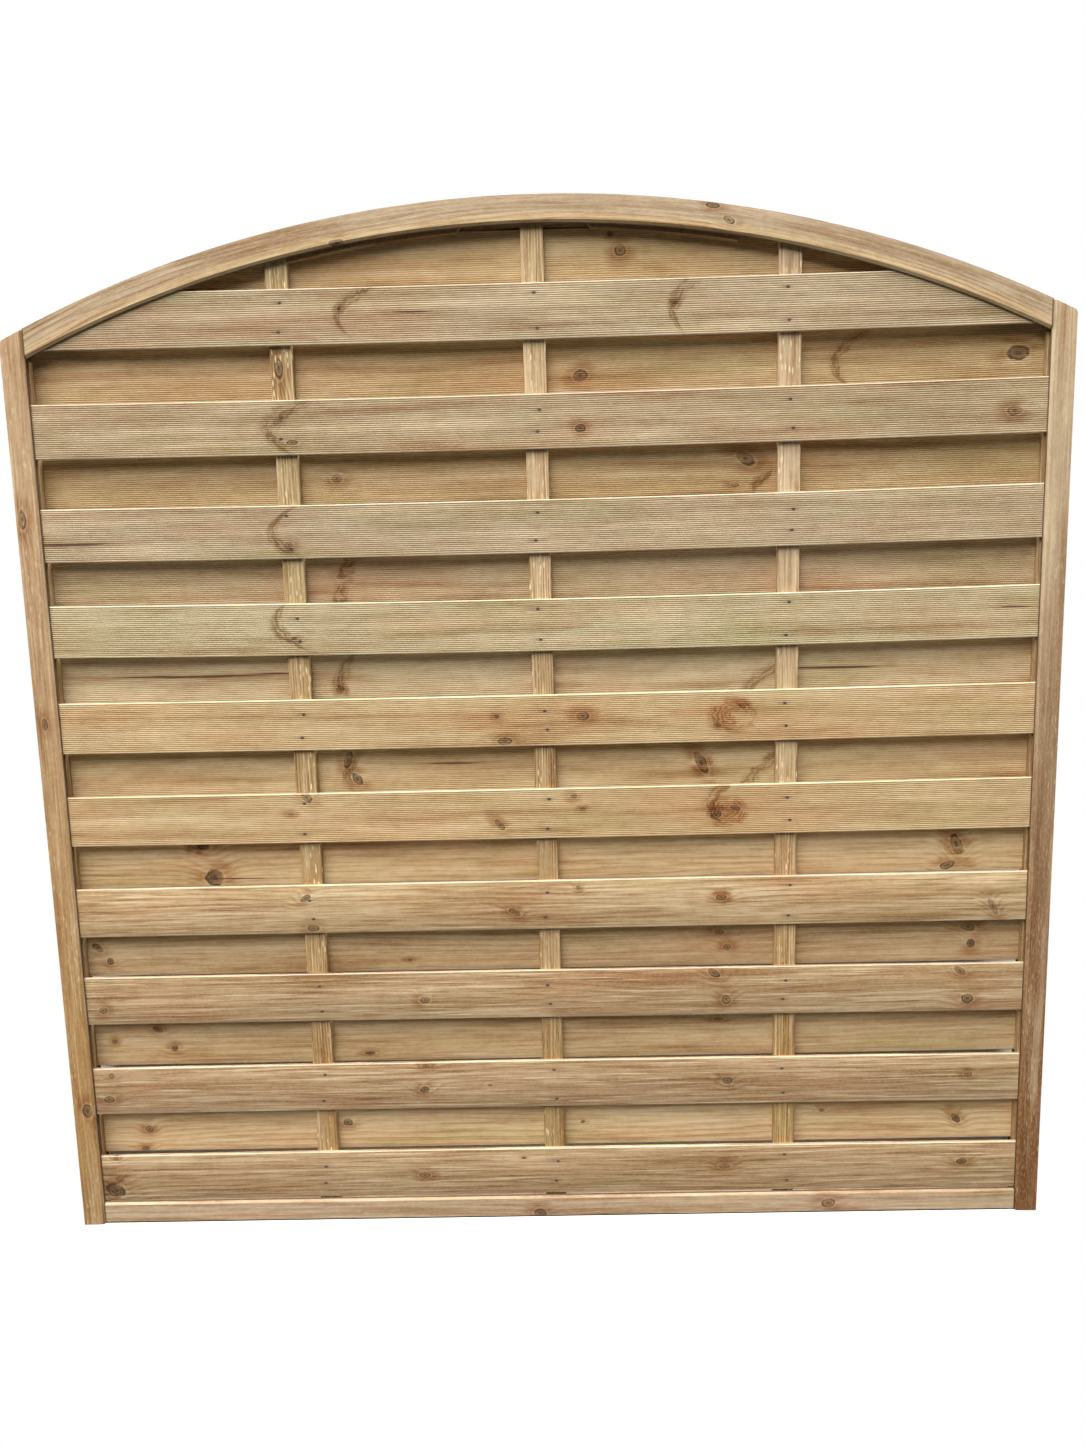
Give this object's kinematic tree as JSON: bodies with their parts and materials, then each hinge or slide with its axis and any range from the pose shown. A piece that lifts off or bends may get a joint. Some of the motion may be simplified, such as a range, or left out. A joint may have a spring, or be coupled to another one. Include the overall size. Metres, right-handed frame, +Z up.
{
  "type": "arched hit-and-miss fence panel",
  "caption": "Arched timber fence panel: a grooved frame with a curved top rail holds horizontal slats on both sides of upright battens, the rows staggered.",
  "frame": {"origin": "on the outer face of the left stile, at its foot, in the middle of its thickness", "axes": "+X along the panel's width from the left stile to the right one, -Y out of the front, +Z up"},
  "size_m": [1.8, 0.045, 1.824],
  "materials": {
    "stile_wood": "planed, pressure-treated softwood",
    "rail_wood": "planed, pressure-treated softwood",
    "batten_wood": "sawn, pressure-treated softwood",
    "front_slat_wood": "reeded and planed, pressure-treated softwood",
    "back_slat_wood": "reeded and planed, pressure-treated softwood"
  },
  "bodies": {
    "root": {"stile_left": "stile_wood", "stile_right": "stile_wood", "arch_rail": "rail_wood", "bottom_rail": "rail_wood", "spacer_left": "batten_wood", "spacer_right": "batten_wood", "batten_left": "batten_wood", "batten_middle": "batten_wood", "batten_right": "batten_wood", "arch_lath_left": "batten_wood", "arch_lath_right": "batten_wood", "slat_front_01": "front_slat_wood", "slat_front_02": "front_slat_wood", "slat_front_03": "front_slat_wood", "slat_front_04": "front_slat_wood", "slat_front_05": "front_slat_wood", "slat_front_06": "front_slat_wood", "slat_front_07": "front_slat_wood", "slat_front_08": "front_slat_wood", "slat_front_09": "front_slat_wood", "slat_front_10": "front_slat_wood", "slat_back_01": "back_slat_wood", "slat_back_02": "back_slat_wood", "slat_back_03": "back_slat_wood", "slat_back_04": "back_slat_wood", "slat_back_05": "back_slat_wood", "slat_back_06": "back_slat_wood", "slat_back_07": "back_slat_wood", "slat_back_08": "back_slat_wood", "slat_back_09": "back_slat_wood", "slat_back_10": "back_slat_wood"}
  },
  "joints": []
}
